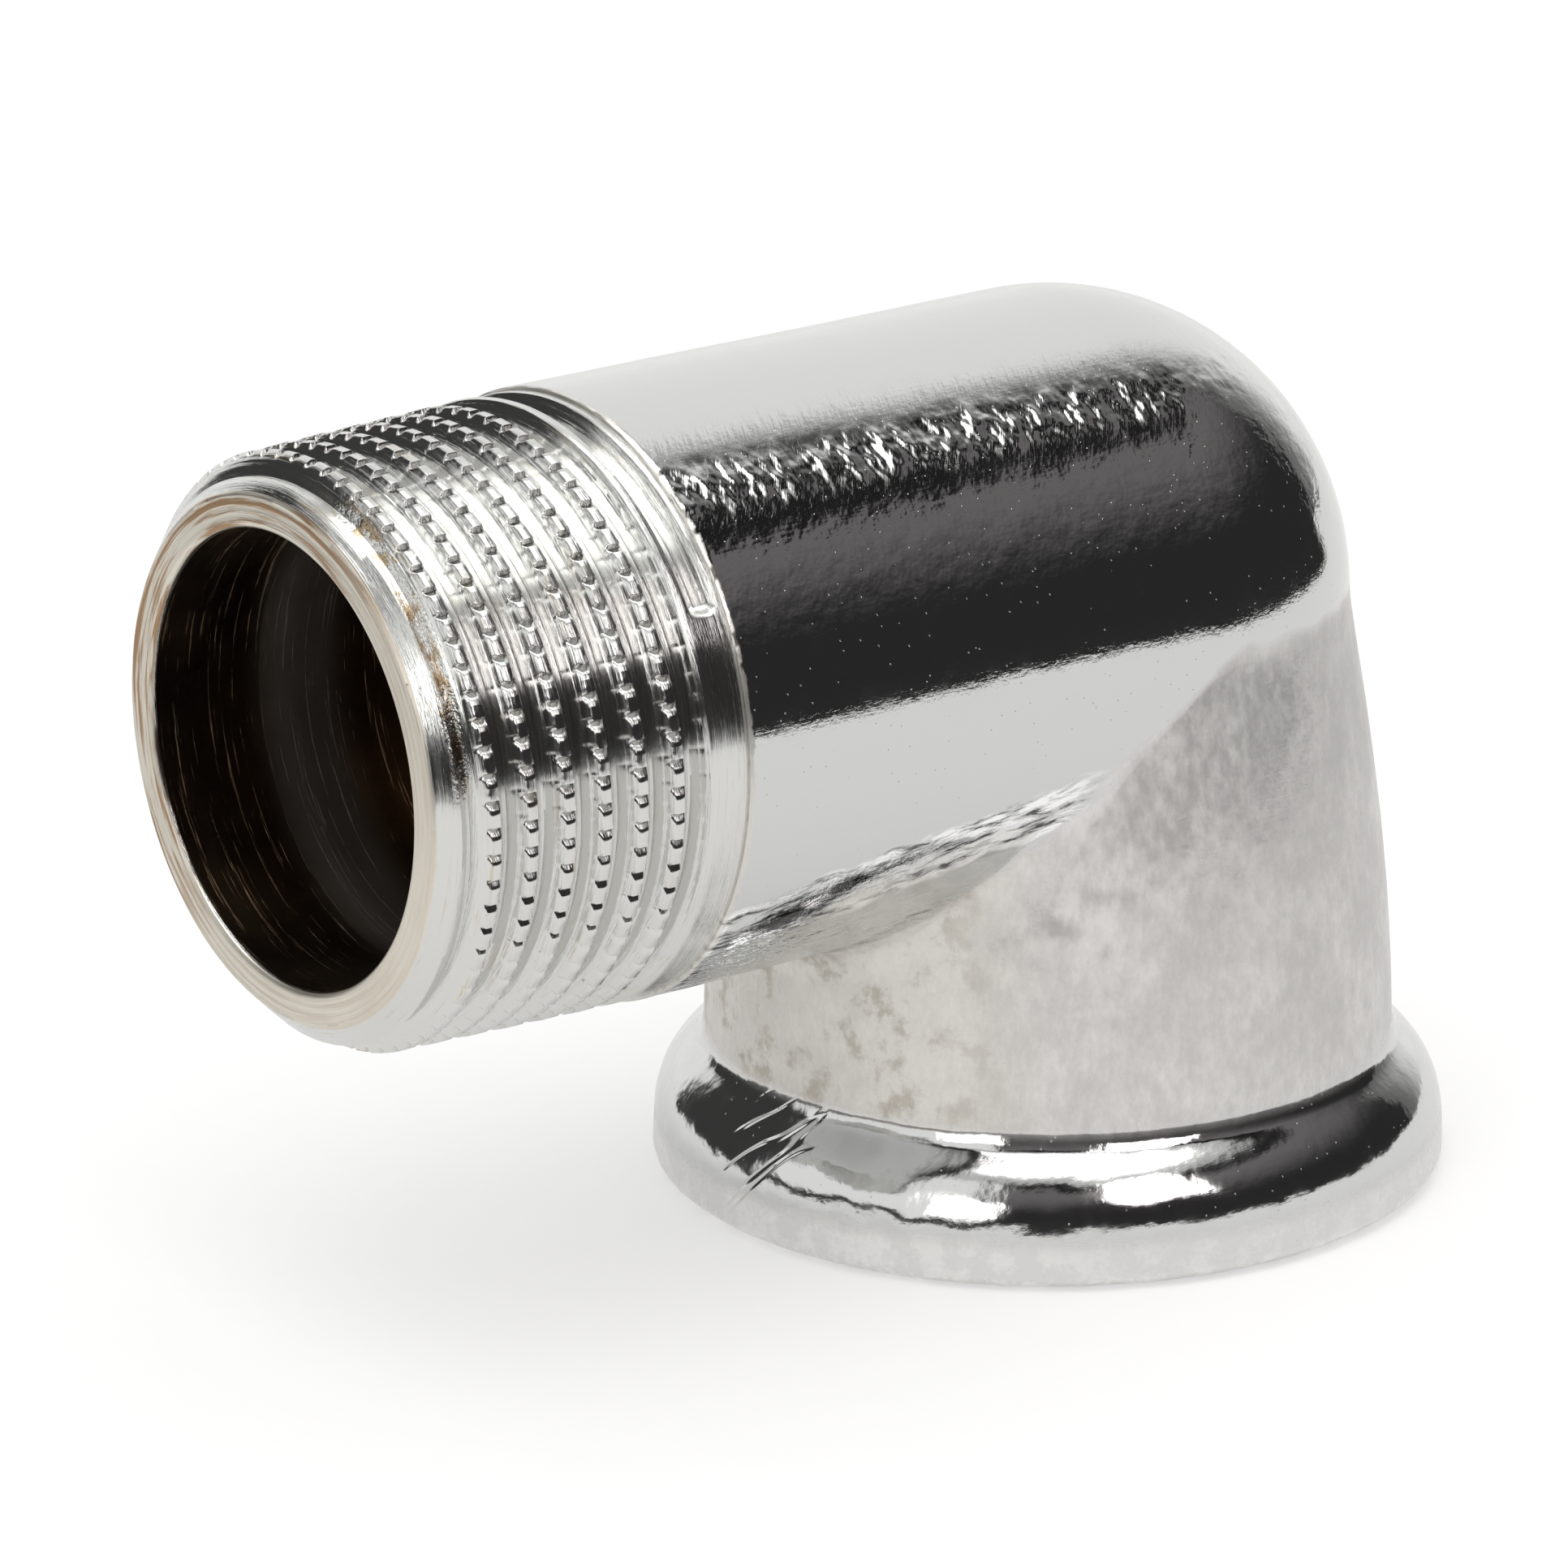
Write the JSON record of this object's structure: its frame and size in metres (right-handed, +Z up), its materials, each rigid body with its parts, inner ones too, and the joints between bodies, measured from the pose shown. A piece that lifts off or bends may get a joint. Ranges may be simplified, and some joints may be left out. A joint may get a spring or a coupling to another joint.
{
  "type": "threaded street elbow",
  "caption": "Right-angle plated brass pipe elbow with a knurled male taper thread at one end and a beaded female threaded socket at the other.",
  "frame": {"origin": "the centre of the female end face, on the female thread's axis", "axes": "-X out of the male thread, -Z out of the female socket, +Z up"},
  "size_m": [0.0591, 0.0358, 0.0403],
  "materials": {
    "brass": "machined",
    "chrome": "polished"
  },
  "bodies": {
    "root": {"elbow_body": "brass", "chrome_plating": "chrome"}
  },
  "joints": []
}
